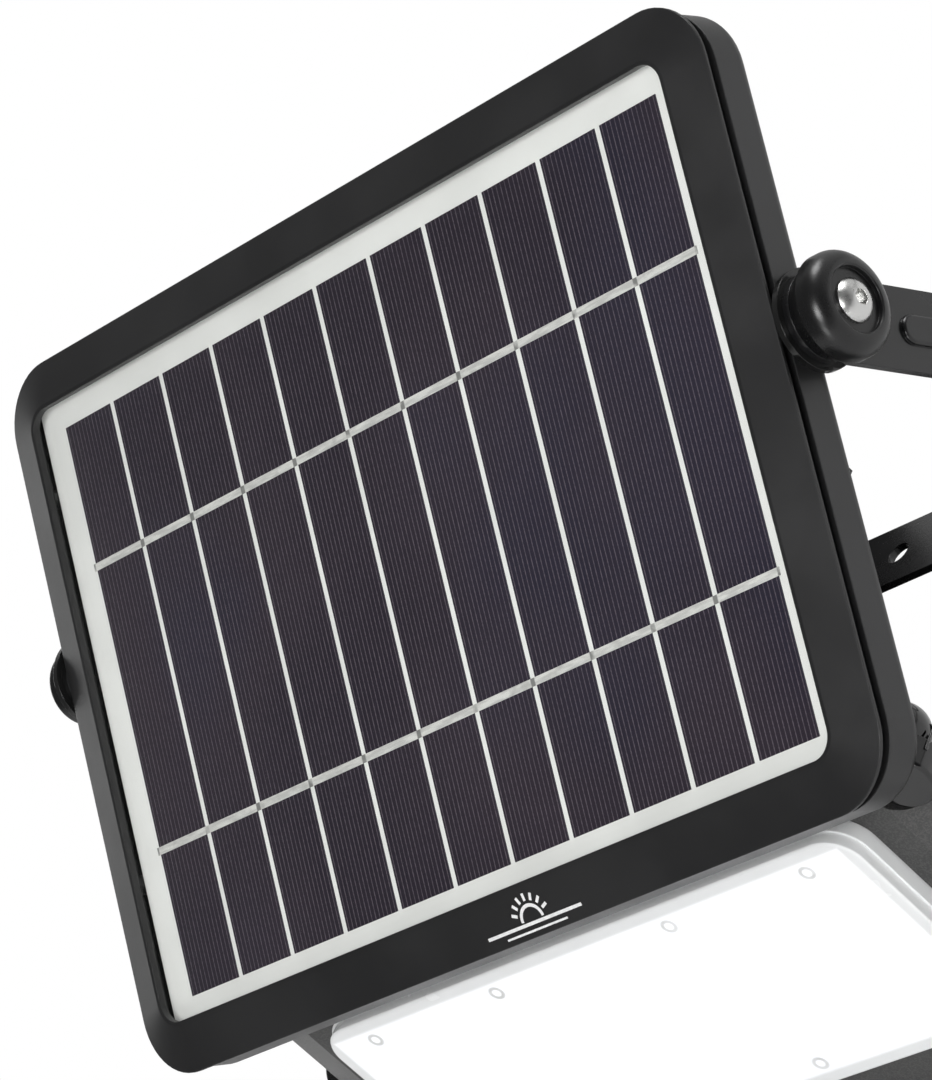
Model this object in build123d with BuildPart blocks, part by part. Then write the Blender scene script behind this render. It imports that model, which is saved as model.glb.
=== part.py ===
from build123d import *
import os
from math import cos, radians, sin

os.makedirs("parts", exist_ok=True)

# Solar flood light on a wall bracket: a tilted solar panel on its own yoke above,
# a lamp head on a second yoke below. Millimetres.
# X is right, -Y is the front, Z is up. The origin is the centre of the four
# wall holes on the back face of the wall plate, so the wall is the plane Y = 0.

# ---------------------------------------------------------------- shared dimensions
# Rounded outlines are (width, height, corner radius). Levels are distances along the
# normal of the panel or lamp plane: positive is outwards, negative towards the back.
panel_tilt = 47.0           # angle of the panel's normal above the horizontal
panel_centre = (0, -105, 50)
lens_front = -161.9         # Y of the lens front
lamp_z = -65.0              # Z of the lens centre

# pivots as (Y, Z)
panel_pivot = (-89.11, 53.20)
lamp_pivot = (lens_front + 26.0, lamp_z)
screw_radius, screw_hole_radius = 2.5, 2.55
insert_radius, insert_hole_radius = 3.55, 3.6
panel_boss_face, lamp_boss_face = 137.4, 124.6      # X of the outer faces of the bosses
knob_radius, knob_length = 13.2, 11.2
cap_seat = 0.6              # floor of the pocket in the pivot cap

# arms and crosspieces of the two yokes
arm_inside, arm_thick = 139.05, 2.0
lamp_arm_inside, lamp_arm_thick = 126.5, 2.5
arm_width = 22.0
cross_top, cross_thick = -35.3, 2.0
cross_y = -53.8

# wall bracket: the yoke bolts to its shelf, the lamp yoke to its hanging plate
steel = 3.0
half_bracket = 28.0
wall_plate_top = 42.0
shelf_top = cross_top - cross_thick
shelf_bottom = shelf_top - steel
drop_front, drop_bottom = -68.0, -106.0
drop_back = drop_front + steel
bolt_z = -92.0
shelf_bolt_at = [(15, cross_y), (-15, cross_y)]
drop_bolt_at = [(15, bolt_z), (-15, bolt_z)]
bolt_hole_radius = 3.2

cable_radius, cable_hole_radius = 2.5, 2.55

# ---------------------------------------------------------------- helpers
# panel plane: origin at the middle of the cells
panel_plane = Plane(
    origin=panel_centre,
    x_dir=(1, 0, 0),
    z_dir=(0, -cos(radians(panel_tilt)), sin(radians(panel_tilt))),
)
panel_axis = Axis(panel_plane.origin, panel_plane.z_dir)
# lamp plane: origin at the middle of the lens front, facing forwards
lamp_plane = Plane(origin=(0, lens_front, lamp_z), x_dir=(1, 0, 0), z_dir=(0, -1, 0))
lamp_axis = Axis(lamp_plane.origin, lamp_plane.z_dir)


def panel_at(level):
    return panel_plane.offset(level)


def lamp_at(level):
    return lamp_plane.offset(level)


def across_x(x, centre):
    """Plane square to X at x, centred on the (Y, Z) point."""
    return Plane(origin=(x, *centre), x_dir=(0, 1, 0), z_dir=(1, 0, 0))


def along_x(centre):
    """Plane for a turned profile: sketch x is X, sketch y is radius."""
    return Plane(origin=(0, *centre), x_dir=(1, 0, 0), z_dir=(0, -1, 0))


def x_axis(centre):
    return Axis((0, *centre), (1, 0, 0))


def grid(columns, rows):
    return [(x, y) for x in columns for y in rows]


# These three draw into the sketch that is open where they are called.
def circles(places, radius, mode=Mode.ADD):
    with Locations(*places):
        Circle(radius, mode=mode)


def crosses(places, length, width):
    with Locations(*places):
        Rectangle(length, width)
        Rectangle(width, length)


def rounded(outline, inset=0.0, mode=Mode.ADD):
    width, height, corner = outline
    RectangleRounded(width - 2 * inset, height - 2 * inset, corner - inset, mode=mode)


def edges_at(builder, parallel, *positions):
    """Edges parallel to an axis whose centres lie at each (axis, value)."""
    edges = builder.edges().filter_by(parallel)
    for axis, value in positions:
        edges = edges.filter_by_position(axis, value - 0.1, value + 0.1)
    return edges


def save(builder, name):
    builder.part.label = name
    export_step(builder.part, "parts/" + name + ".step")


# ================================================================ SOLAR PANEL
cell_width, cell_height, cell_thick = 19.5, 156.0, 0.25
cell_pitch, cell_count = 21.2727, 11
ribbon_width, ribbon_y = 2.0, 39.0
laminate_width, laminate_height = 250.6, 172.0
window = (246.6, 168.0, 6.0)
bezel = (271.0, 194.6, 17.5)
cover = (269.0, 192.6, 17.0)
spigot = (264.6, 188.2, 15.0)
stiffener = (214, 136, 10)

rim_back = 1.2
rim_thick = 0.8
glass_back, glass_thick = 0.45, 2.4
glass_front = glass_back + glass_thick
gasket_thick = 0.55
backsheet_thick = 1.6
junction_front, junction_thick = -5.45, 1.6
junction_back = junction_front - junction_thick
cover_front, cover_depth = -2.5, 11.0
cover_back = cover_front - cover_depth
cover_wall = 2.0
panel_screw_seat = -12.5

panel_screw_at = grid((128, -128), (62, -45)) + grid((62, -62), (89.3, -89.3))
lead_at = [(22, 5), (38, 5)]
junction_centre = (30, 0)
junction_hole_at = grid((11, 49), (-9, 9))
panel_gland_at = (-20, 0)

# front bezel: sloping frame, thin rim, spigot that drops into the rear cover
with BuildPart() as panel_bezel:
    with BuildSketch(panel_at(rim_back + rim_thick)):
        rounded(bezel)
    with BuildSketch(panel_at(5.5)):
        rounded(window, -1.0)
    loft()
    with BuildSketch(panel_at(rim_back)):
        rounded(bezel)
    extrude(amount=rim_thick)
    with BuildSketch(panel_at(rim_back)):
        rounded(spigot)
        rounded(spigot, 2.0, Mode.SUBTRACT)
    extrude(amount=-6.2)
    # screw posts
    with BuildSketch(panel_at(rim_back)):
        circles(panel_screw_at, 2.6)
    extrude(amount=-12.6)
    # recess for the laminate, then the window
    with BuildSketch(panel_at(glass_front + gasket_thick)):
        Rectangle(laminate_width + 0.4, laminate_height + 0.4)
    extrude(amount=-8.6, mode=Mode.SUBTRACT)
    with BuildSketch(panel_at(6.0)):
        rounded(window)
    extrude(amount=-4.0, mode=Mode.SUBTRACT)
    with BuildSketch(panel_at(-11.5)):
        circles(panel_screw_at, 1.5)
    extrude(amount=12.0, mode=Mode.SUBTRACT)
    # clearance around the cover's pivot bosses
    for side in (1, -1):
        with BuildSketch(across_x(side * 116, panel_pivot)):
            Circle(6.7)
        extrude(amount=side * 19.0, mode=Mode.SUBTRACT)
save(panel_bezel, "panel_bezel")

with BuildPart() as panel_glass:
    with BuildSketch(panel_at(glass_back)):
        Rectangle(laminate_width, laminate_height)
    extrude(amount=glass_thick)
    chamfer(panel_glass.faces().sort_by(panel_axis)[-1].edges(), 0.4)
save(panel_glass, "panel_glass")

with BuildPart() as panel_gasket:
    with BuildSketch(panel_at(glass_front)):
        Rectangle(laminate_width + 0.2, laminate_height + 0.2)
        RectangleRounded(window[0] + 0.8, window[1] + 0.8, 5.6, mode=Mode.SUBTRACT)
    extrude(amount=gasket_thick)
save(panel_gasket, "panel_gasket")

with BuildPart() as solar_backsheet:
    with BuildSketch(panel_at(-backsheet_thick)):
        Rectangle(laminate_width, laminate_height)
        with Locations(*lead_at):
            Rectangle(5, 1.2, mode=Mode.SUBTRACT)
    extrude(amount=backsheet_thick)
save(solar_backsheet, "solar_backsheet")

with BuildPart() as solar_cells:
    with BuildSketch(panel_plane):
        with GridLocations(cell_pitch, 1, cell_count, 1):
            Rectangle(cell_width, cell_height)
    extrude(amount=cell_thick)
save(solar_cells, "solar_cells")

with BuildPart() as busbar_ribbons:
    with BuildSketch(panel_at(cell_thick)):
        with Locations((0, ribbon_y), (0, -ribbon_y)):
            Rectangle(cell_pitch * (cell_count - 1) + cell_width + 1.6, ribbon_width)
    extrude(amount=0.15)
save(busbar_ribbons, "busbar_ribbons")

# strips that carry the current from the cells to the junction board
with BuildPart() as cell_leads:
    with BuildSketch(panel_at(-0.05)):
        with Locations(*lead_at):
            Rectangle(4, 0.3)
    extrude(amount=-5.35)
save(cell_leads, "cell_leads")

with BuildPart() as junction_board:
    with BuildSketch(panel_at(junction_front)):
        with Locations(junction_centre):
            RectangleRounded(46, 26, 2)
        circles(junction_hole_at, 1.3, Mode.SUBTRACT)
    extrude(amount=-junction_thick)
save(junction_board, "junction_board")

with BuildPart() as junction_parts:
    with BuildSketch(panel_at(junction_back)):
        with Locations((22, -4), (38, -4)):
            Rectangle(8, 8)
    extrude(amount=-3.4)
    with BuildSketch(panel_at(junction_back)):
        with Locations((30, 5)):
            Rectangle(5.2, 3.6)
    extrude(amount=-2.4)
save(junction_parts, "junction_parts")

# moulded rear cover with ribs, pivot bosses, pads and screw seats
with BuildPart() as panel_rear_cover:
    with BuildSketch(panel_at(cover_front)):
        rounded(cover)
    extrude(amount=-cover_depth)
    fillet(panel_rear_cover.faces().sort_by(panel_axis)[0].edges(), 3.0)
    # pads near the lower corners
    with BuildSketch(panel_at(cover_back)):
        with Locations((126, -72), (-126, -72)):
            SlotOverall(24, 8, rotation=90)
    extrude(amount=-2.0)
    # shallow stiffening frame on the back
    with BuildSketch(panel_at(cover_back)):
        rounded(stiffener)
        rounded(stiffener, 3.0, Mode.SUBTRACT)
    extrude(amount=-1.2)
    # cavity, starting 0.1 in front of the cover
    with BuildSketch(panel_at(cover_front + 0.1)):
        rounded(cover, cover_wall)
    extrude(amount=cover_wall - cover_depth - 0.1, mode=Mode.SUBTRACT)
    # ribs inside
    with BuildSketch(panel_at(-1.7)):
        with Locations((0, 60), (0, -60)):
            Rectangle(240, 1.6)
        with Locations((60, 0), (-60, 0), (90, 0), (-90, 0)):
            Rectangle(1.6, 120)
    extrude(amount=-9.9)
    # posts for the junction board
    with BuildSketch(panel_at(-7.1)):
        circles(junction_hole_at, 2.4)
    extrude(amount=-4.6)
    # pivot bosses, bored for the inserts
    for side in (1, -1):
        with BuildSketch(across_x(side * 118, panel_pivot)):
            Circle(6.5)
        extrude(amount=side * 18.5)
        with BuildSketch(across_x(side * (panel_boss_face - 1.8), panel_pivot)):
            Circle(9.5)
        extrude(amount=side * 1.8)
        with BuildSketch(across_x(side * 120, panel_pivot)):
            Circle(insert_hole_radius)
        extrude(amount=side * 18.0, mode=Mode.SUBTRACT)
    # screw holes and head seats
    with BuildSketch(panel_at(-10)):
        circles(panel_screw_at, 1.6)
    extrude(amount=-5, mode=Mode.SUBTRACT)
    with BuildSketch(panel_at(panel_screw_seat)):
        circles(panel_screw_at, 2.8)
    extrude(amount=-2, mode=Mode.SUBTRACT)
    # gland hole
    with BuildSketch(panel_at(-10)):
        circles([panel_gland_at], 6.0)
    extrude(amount=-8, mode=Mode.SUBTRACT)
save(panel_rear_cover, "panel_rear_cover")

with BuildPart() as panel_screws:
    with BuildSketch(panel_at(panel_screw_seat)):
        circles(panel_screw_at, 2.7)
    extrude(amount=-1.5)
    chamfer(panel_screws.faces().group_by(panel_axis)[0].edges(), 0.4)
    with BuildSketch(panel_at(panel_screw_seat - 1.6)):
        crosses(panel_screw_at, 3.2, 0.7)
    extrude(amount=0.9, mode=Mode.SUBTRACT)
    with BuildSketch(panel_at(panel_screw_seat)):
        circles(panel_screw_at, 1.45)
    extrude(amount=12.0)
save(panel_screws, "panel_screws")


# ================================================================ PIVOTS
def pivot_inserts(centre, start, end):
    """Threaded inserts with a groove round the middle, one in each boss."""
    with BuildPart() as inserts:
        with BuildSketch(across_x(start, centre)):
            Circle(insert_radius)
            Circle(screw_hole_radius, mode=Mode.SUBTRACT)
        extrude(amount=end - start)
        with BuildSketch(across_x(0.5 * (start + end) - 0.6, centre)):
            Circle(insert_radius + 1)
            Circle(insert_radius - 0.4, mode=Mode.SUBTRACT)
        extrude(amount=1.2, mode=Mode.SUBTRACT)
        mirror(about=Plane.YZ)
    return inserts


def toothed_discs(centre, start, end):
    """Discs between boss and arm, with radial slots in the outer face."""
    with BuildPart() as discs:
        with BuildSketch(across_x(start, centre)):
            Circle(12.6)
            Circle(2.9, mode=Mode.SUBTRACT)
        extrude(amount=end - start)
        with BuildSketch(across_x(end - 0.5, centre)):
            with PolarLocations(7.6, 24):
                Rectangle(4.4, 0.9)
        extrude(amount=0.6, mode=Mode.SUBTRACT)
        mirror(about=Plane.YZ)
    return discs


def clamping_knob(centre, base):
    """Smooth clamping knob on the right side."""
    end = base + knob_length
    shoulder = (end - 4.6, knob_radius)
    crown = (end, knob_radius - 4.6)
    with BuildPart() as knob:
        with BuildSketch(along_x(centre)):
            with BuildLine():
                # (X, radius)
                Polyline((base, 2.6), (base, 6.5), (base + 1.6, 6.5), (base + 1.6, 9.4),
                         (base, 9.4), (base, 10.8), (base + 4.5, knob_radius), shoulder)
                ThreePointArc(shoulder, (end - 1.35, knob_radius - 1.35), crown)
                Polyline(crown, (end - 0.3, 8.2), (end - 1.5, 8.2), (end - 1.5, 2.6),
                         (base, 2.6))
            make_face()
        revolve(axis=x_axis(centre))
    return knob


def pivot_cap(centre, base):
    """Low round cap on the left side."""
    with BuildPart() as cap:
        with BuildSketch(across_x(-base, centre)):
            Circle(10.6)
        extrude(amount=-3.4)
        fillet(cap.faces().sort_by(Axis.X)[0].edges(), 1.6)
        with BuildSketch(across_x(-base - cap_seat, centre)):
            Circle(5.8)
        extrude(amount=-4, mode=Mode.SUBTRACT)
        with BuildSketch(across_x(-base + 1, centre)):
            Circle(2.6)
        extrude(amount=-4, mode=Mode.SUBTRACT)
    return cap


def pivot_screws(centre, right_seat, left_seat, tip):
    """Button-head machine screws with a hexagon socket, right and left."""
    with BuildPart() as screws:
        for side, seat in ((1, right_seat), (-1, left_seat)):
            head_edge = (side * (seat + 0.6), 5.5)
            crown = (side * (seat + 2.75), 1.8)
            with BuildSketch(along_x(centre)):
                with BuildLine():
                    # (X, radius)
                    Polyline((side * tip, 0), (side * tip, 2.0),
                             (side * (tip + 0.5), screw_radius), (side * seat, screw_radius),
                             (side * seat, 5.5), head_edge)
                    ThreePointArc(head_edge, (side * (seat + 2.15), 3.9), crown)
                    Polyline(crown, (side * (seat + 2.75), 0), (side * tip, 0))
                make_face()
            revolve(axis=x_axis(centre))
            with BuildSketch(across_x(side * (seat + 1.1), centre)):
                RegularPolygon(2.1, 6)
            extrude(amount=side * 2, mode=Mode.SUBTRACT)
    return screws


# name, centre, outer face of the arm, boss face, then X of
# insert start, outer face of the disc, screw tip
pivots = [
    ("panel", panel_pivot, arm_inside + arm_thick, panel_boss_face, 122.0, 139.0, 124.0),
    ("lamp", lamp_pivot, lamp_arm_inside + lamp_arm_thick, lamp_boss_face, 108.0, 126.4, 111.0),
]
for name, centre, arm_face, boss_face, insert_start, disc_end, tip in pivots:
    base = arm_face + 0.05
    save(pivot_inserts(centre, insert_start, boss_face - 0.4), name + "_pivot_inserts")
    save(toothed_discs(centre, boss_face, disc_end), name + "_toothed_discs")
    save(clamping_knob(centre, base), name + "_knob")
    save(pivot_cap(centre, base), name + "_pivot_cap")
    save(pivot_screws(centre, base + knob_length - 1.5, base + cap_seat, tip),
         name + "_pivot_screws")


# ================================================================ GLANDS AND CABLES
def cable_gland(seat, place, wall_thick):
    """Gland through a wall whose outer face is the seat plane, with its nut inside."""
    with BuildPart() as gland:
        with BuildSketch(seat):
            with Locations(place):
                RegularPolygon(8.0, 6)
        extrude(amount=-4.0)
        with BuildSketch(seat.offset(-4.0)):
            circles([place], 6.4)
        extrude(amount=-8.5)
        fillet(gland.faces().sort_by(Axis(seat.origin, seat.z_dir))[0].edges(), 2.2)
        with BuildSketch(seat):
            circles([place], 5.9)
        extrude(amount=6.0)
        with BuildSketch(seat.offset(wall_thick)):
            with Locations(place):
                RegularPolygon(8.4, 6)
        extrude(amount=2.6)
        with BuildSketch(seat.offset(-16)):
            circles([place], cable_hole_radius)
        extrude(amount=30, mode=Mode.SUBTRACT)
    return gland


def cable(start, place, length):
    """Straight piece of cable."""
    with BuildPart() as piece:
        with BuildSketch(start):
            circles([place], cable_radius)
        extrude(amount=length)
    return piece


save(cable_gland(panel_at(cover_back), panel_gland_at, cover_wall), "panel_gland")
save(cable(panel_at(-33), panel_gland_at, 28.5), "panel_cable")

# ================================================================ PANEL YOKE
# centre line of the arm below the pivot, as (Y, Z)
bend_start = (-66.13, 22.93)
bend_middle = (-56.99, 5.64)
bend_end = (-53.85, -13.6)
# ends of the pressed rib
rib_top = (-71.2, 29.6)
rib_bottom = (-53.83, -22.0)
rib_width = 7.5

with BuildPart() as panel_yoke:
    with BuildSketch(Plane.YZ.offset(arm_inside)):
        with BuildLine():
            Line(panel_pivot, bend_start)
            ThreePointArc(bend_start, bend_middle, bend_end)
            Line(bend_end, (cross_y, cross_top))
        trace(line_width=arm_width - 1)
        circles([panel_pivot], arm_width / 2)
    extrude(amount=arm_thick)
    # pressed rib along the middle of the arm
    with BuildSketch(Plane.YZ.offset(arm_inside + arm_thick - 0.2)):
        with BuildLine():
            Line(rib_top, bend_start)
            ThreePointArc(bend_start, bend_middle, bend_end)
            Line(bend_end, rib_bottom)
        trace(line_width=rib_width)
        circles([rib_top, rib_bottom], rib_width / 2)
    extrude(amount=1.4)
    fillet(panel_yoke.faces().sort_by(Axis.X)[-1].edges(), 0.8)
    with BuildSketch(across_x(arm_inside - 1, panel_pivot)):
        Circle(screw_hole_radius)
    extrude(amount=6, mode=Mode.SUBTRACT)
    mirror(about=Plane.YZ)
    # crosspiece, its lower outer corners rounded
    with BuildSketch(Plane.XY.offset(shelf_top)):
        with Locations((0, cross_y)):
            Rectangle(2 * (arm_inside + arm_thick), arm_width)
    extrude(amount=cross_thick)
    for end in (-1, 0):
        corners = edges_at(panel_yoke, Axis.Y, (Axis.Z, shelf_top))
        fillet(corners.sort_by(Axis.X)[end], 4.0)
    with BuildSketch(Plane.XY.offset(cross_top - 5)):
        circles([(70, cross_y), (-70, cross_y)] + shelf_bolt_at, bolt_hole_radius)
    extrude(amount=8, mode=Mode.SUBTRACT)
save(panel_yoke, "panel_yoke")

# ================================================================ WALL BRACKET
gusset_thick = 3.0

with BuildPart() as wall_bracket:
    with BuildSketch(Plane.YZ.offset(-half_bracket)):
        with BuildLine():
            Polyline(
                (0, wall_plate_top), (-steel, wall_plate_top), (-steel, shelf_top),
                (drop_front, shelf_top), (drop_front, drop_bottom), (drop_back, drop_bottom),
                (drop_back, shelf_bottom), (0, shelf_bottom), (0, wall_plate_top),
            )
        make_face()
    extrude(amount=2 * half_bracket)
    # outside and inside of the bend, then the plate corners
    fillet(edges_at(wall_bracket, Axis.X, (Axis.Y, drop_front), (Axis.Z, shelf_top)), 4.0)
    fillet(edges_at(wall_bracket, Axis.X, (Axis.Y, drop_back), (Axis.Z, shelf_bottom)), 1.5)
    fillet(edges_at(wall_bracket, Axis.Y, (Axis.Z, wall_plate_top)), 7.0)
    fillet(edges_at(wall_bracket, Axis.Y, (Axis.Z, drop_bottom)), 7.0)
    # gussets between the wall plate and the shelf
    for x in (half_bracket - 1.0 - gusset_thick, 1.0 - half_bracket):
        with BuildSketch(Plane.YZ.offset(x)):
            with BuildLine():
                Polyline((-2.5, -38), (-2.5, 18), (-steel, 18), (-36, shelf_top),
                         (-36, -38), (-2.5, -38))
            make_face()
        extrude(amount=gusset_thick)
    # wall holes, then bolt holes in the shelf and the hanging plate
    with BuildSketch(Plane.XZ.offset(-1)):
        circles(grid((18, -18), (28, -28)), 2.75)
    extrude(amount=6, mode=Mode.SUBTRACT)
    with BuildSketch(Plane.XY.offset(-42)):
        circles(shelf_bolt_at, bolt_hole_radius)
    extrude(amount=6, mode=Mode.SUBTRACT)
    with BuildSketch(Plane.XZ.offset(64)):
        circles(drop_bolt_at, bolt_hole_radius)
    extrude(amount=6, mode=Mode.SUBTRACT)
save(wall_bracket, "wall_bracket")

# ================================================================ LAMP YOKE
with BuildPart() as lamp_yoke:
    with BuildSketch(Plane.YZ.offset(lamp_arm_inside)):
        with BuildLine():
            Polyline(lamp_pivot, (-84.0, -86.3), (-76.0, bolt_z), (-69.0, bolt_z))
        trace(line_width=arm_width)
        circles([lamp_pivot], arm_width / 2)
        # trim the arm square behind and below
        with Locations((-60, bolt_z)):
            Rectangle(16, 60, mode=Mode.SUBTRACT)
        with Locations((-76, -112)):
            Rectangle(40, 18, mode=Mode.SUBTRACT)
    extrude(amount=lamp_arm_thick)
    with BuildSketch(across_x(lamp_arm_inside - 1, lamp_pivot)):
        Circle(screw_hole_radius)
    extrude(amount=6, mode=Mode.SUBTRACT)
    mirror(about=Plane.YZ)
    # crosspiece, its rear outer corners rounded
    with BuildSketch(Plane.XZ.offset(-drop_front)):
        with Locations((0, bolt_z)):
            Rectangle(2 * (lamp_arm_inside + lamp_arm_thick), arm_width)
    extrude(amount=lamp_arm_thick)
    for end in (-1, 0):
        corners = edges_at(lamp_yoke, Axis.Z, (Axis.Y, drop_front))
        fillet(corners.sort_by(Axis.X)[end], 4.0)
    with BuildSketch(Plane.XZ.offset(60)):
        circles(drop_bolt_at, bolt_hole_radius)
    extrude(amount=20, mode=Mode.SUBTRACT)
save(lamp_yoke, "lamp_yoke")

# ================================================================ YOKE FASTENERS
washer_radius, washer_thick = 6.2, 1.0
hexagon_radius = 5.7


def hexagon_bolts(seat, places, head_height):
    """M6 bolts with washers, heads on the outer side of the seat plane."""
    with BuildPart() as bolts:
        with BuildSketch(seat):
            circles(places, washer_radius)
        extrude(amount=washer_thick)
        with BuildSketch(seat.offset(washer_thick)):
            with Locations(*places):
                RegularPolygon(hexagon_radius, 6)
        extrude(amount=head_height)
        outwards = Axis(seat.origin, seat.z_dir)
        chamfer(bolts.faces().group_by(outwards)[-1].edges(), 0.5)
        with BuildSketch(seat):
            circles(places, 2.95)
        extrude(amount=-13.0)
    return bolts


def hexagon_nuts(seat, places):
    """Nuts with washers, behind the seat plane."""
    with BuildPart() as nuts:
        with BuildSketch(seat):
            with Locations(*places):
                Circle(washer_radius)
                Circle(3.0, mode=Mode.SUBTRACT)
        extrude(amount=-washer_thick)
        with BuildSketch(seat.offset(-washer_thick)):
            with Locations(*places):
                RegularPolygon(hexagon_radius, 6)
                Circle(3.0, mode=Mode.SUBTRACT)
        extrude(amount=-4.6)
    return nuts


save(hexagon_bolts(Plane.XY.offset(cross_top), shelf_bolt_at, 2.8), "yoke_bolts")
save(hexagon_nuts(Plane.XY.offset(shelf_bottom), shelf_bolt_at), "yoke_nuts")
lamp_yoke_front = Plane.XZ.offset(lamp_arm_thick - drop_front)
save(hexagon_bolts(lamp_yoke_front, drop_bolt_at, 2.6), "lamp_yoke_bolts")
save(hexagon_nuts(Plane.XZ.offset(-drop_back), drop_bolt_at), "lamp_yoke_nuts")

# ================================================================ CABLE CLIPS
clip_width, clip_thick, clip_radius = 6.0, 1.4, 4.1
clip_starts = (-42.0, -62.0)
link_cable_at = (cross_y, cross_top + clip_radius)

# saddle clips on the crosspiece
with BuildPart() as cable_clips:
    for x in clip_starts:
        with BuildSketch(Plane.YZ.offset(x)):
            with Locations((cross_y, cross_top + clip_thick / 2)):
                Rectangle(19, clip_thick)
            circles([link_cable_at], clip_radius)
            with Locations((cross_y, cross_top - 1)):
                Rectangle(20, 2, mode=Mode.SUBTRACT)
            circles([link_cable_at], cable_hole_radius, Mode.SUBTRACT)
        extrude(amount=clip_width)
save(cable_clips, "cable_clips")

with BuildPart() as clip_screws:
    with BuildSketch(Plane.XY.offset(cross_top + clip_thick)):
        columns = [x + clip_width / 2 for x in clip_starts]
        circles(grid(columns, (cross_y - 7, cross_y + 7)), 1.9)
    extrude(amount=1.3)
    chamfer(clip_screws.faces().group_by(Axis.Z)[-1].edges(), 0.4)
save(clip_screws, "clip_screws")

# run of cable held by the clips
save(cable(Plane.YZ.offset(-66), link_cable_at, 34), "link_cable")

# ================================================================ LAMP HEAD
lens = (193.0, 70.5, 10.0)
lens_flange = (lens[0] + 5, lens[1] + 4.7, lens[2] + 2)
flange_front = -10.05
head = (244.0, 97.0, 12.0)
head_at = (0, -7.5)
frame_front, frame_back = -7.0, -14.0
shell_gasket_thick = 0.8
shell_front = frame_back - shell_gasket_thick
shell_rim_back, shell_back = -20.0, -50.0
wall = 2.2
box_top = 26.0
box_bottom = head_at[1] - head[1] / 2
box = (196.0, box_top - box_bottom, 12.0)
box_at = (0, 0.5 * (box_top + box_bottom))
underside = lamp_z + box_bottom     # Z of the lower face of the head

stud_radius, stud_at = 8.5, (113.6, 35.2)
ball_radius, ball_at, ball_level = 7.6, (113.6, 40.0), -20.2
lamp_gland_at = (-82, -38)
led_screw_at = grid((-88, 0, 88), (20.5, -20.5))
side_screw_at = grid((109, -109), (16, -42))
base_screw_at = [(30, -47.9), (-30, -47.9)]
base_screw_seat = -44.0
led_front = -12.0           # face of the LED board
led_board_thick, heat_plate_thick = 1.6, 2.0
control_front = -36.4       # face of the control board
pir_y = -45.2
pir_at = (0, pir_y)
button_x = 70.0
button_at = (button_x, lens_front + 34.0)

with BuildPart() as lens_cover:
    with BuildSketch(lamp_plane):
        rounded(lens)
    extrude(amount=-11.6)
    fillet(lens_cover.faces().sort_by(lamp_axis)[-1].edges(), 1.6)
    with BuildSketch(lamp_at(flange_front)):
        rounded(lens_flange)
    extrude(amount=-1.55)
    # step around the raised window
    with BuildSketch(lamp_at(-3.4)):
        rounded(lens, -1.0)
        rounded(lens, 0.7, Mode.SUBTRACT)
    extrude(amount=6.0, mode=Mode.SUBTRACT)
    # hollow back, with short tubes standing in it
    with BuildSketch(lamp_at(-2.0)):
        RectangleRounded(lens[0] - 5.6, lens[1] - 5.6, lens[2] - 2.6)
    extrude(amount=-12, mode=Mode.SUBTRACT)
    with BuildSketch(lamp_at(-2.0)):
        with Locations(*grid((79.2, 31.7, -31.7, -79.2), (27.5, -27.5))):
            Circle(2.4)
            Circle(1.3, mode=Mode.SUBTRACT)
    extrude(amount=-4.0)
save(lens_cover, "lens_cover")

with BuildPart() as lens_gasket:
    with BuildSketch(lamp_at(flange_front)):
        rounded(lens_flange)
        rounded(lens, -0.5, Mode.SUBTRACT)
    extrude(amount=0.7)
save(lens_gasket, "lens_gasket")

with BuildPart() as lamp_front_frame:
    with BuildSketch(lamp_at(frame_back)):
        with Locations(head_at):
            rounded(head)
    with BuildSketch(lamp_at(frame_front)):
        with Locations(head_at):
            RectangleRounded(head[0] - 32, head[1] - 4, 8)
    loft()
    # lip that enters the rear shell
    with BuildSketch(lamp_at(frame_back)):
        with Locations(head_at):
            rounded(head, 2.6)
            rounded(head, 4.2, Mode.SUBTRACT)
    extrude(amount=-3.4)
    # recess for the lens flange, then the lens opening
    with BuildSketch(lamp_at(-9.3)):
        RectangleRounded(lens_flange[0] + 0.4, lens_flange[1] + 0.4, lens_flange[2])
    extrude(amount=-6, mode=Mode.SUBTRACT)
    with BuildSketch(lamp_at(-5)):
        rounded(lens, -0.5)
    extrude(amount=-6, mode=Mode.SUBTRACT)
    # the same for the motion sensor cover
    with BuildSketch(lamp_at(-8.3)):
        circles([pir_at], 9.6)
    extrude(amount=-7, mode=Mode.SUBTRACT)
    with BuildSketch(lamp_at(-5)):
        circles([pir_at], 8.25)
    extrude(amount=-7, mode=Mode.SUBTRACT)
    # hole for the corner stud, with clearance for its seat behind
    with BuildSketch(lamp_at(-5)):
        circles([stud_at], stud_radius + 0.1)
    extrude(amount=-9.1, mode=Mode.SUBTRACT)
    with BuildSketch(lamp_at(-13.9)):
        circles([stud_at, ball_at], stud_radius + 2.4)
    extrude(amount=-6, mode=Mode.SUBTRACT)
    with BuildSketch(lamp_at(-20)):
        circles(side_screw_at + base_screw_at, 1.5)
    extrude(amount=9.8, mode=Mode.SUBTRACT)
save(lamp_front_frame, "lamp_front_frame")

with BuildPart() as shell_gasket:
    with BuildSketch(lamp_at(frame_back)):
        with Locations(head_at):
            rounded(head, 0.6)
            rounded(head, 2.4, Mode.SUBTRACT)
        circles([stud_at, ball_at], stud_radius + 2.4, Mode.SUBTRACT)
    extrude(amount=-shell_gasket_thick)
save(shell_gasket, "shell_gasket")

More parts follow.
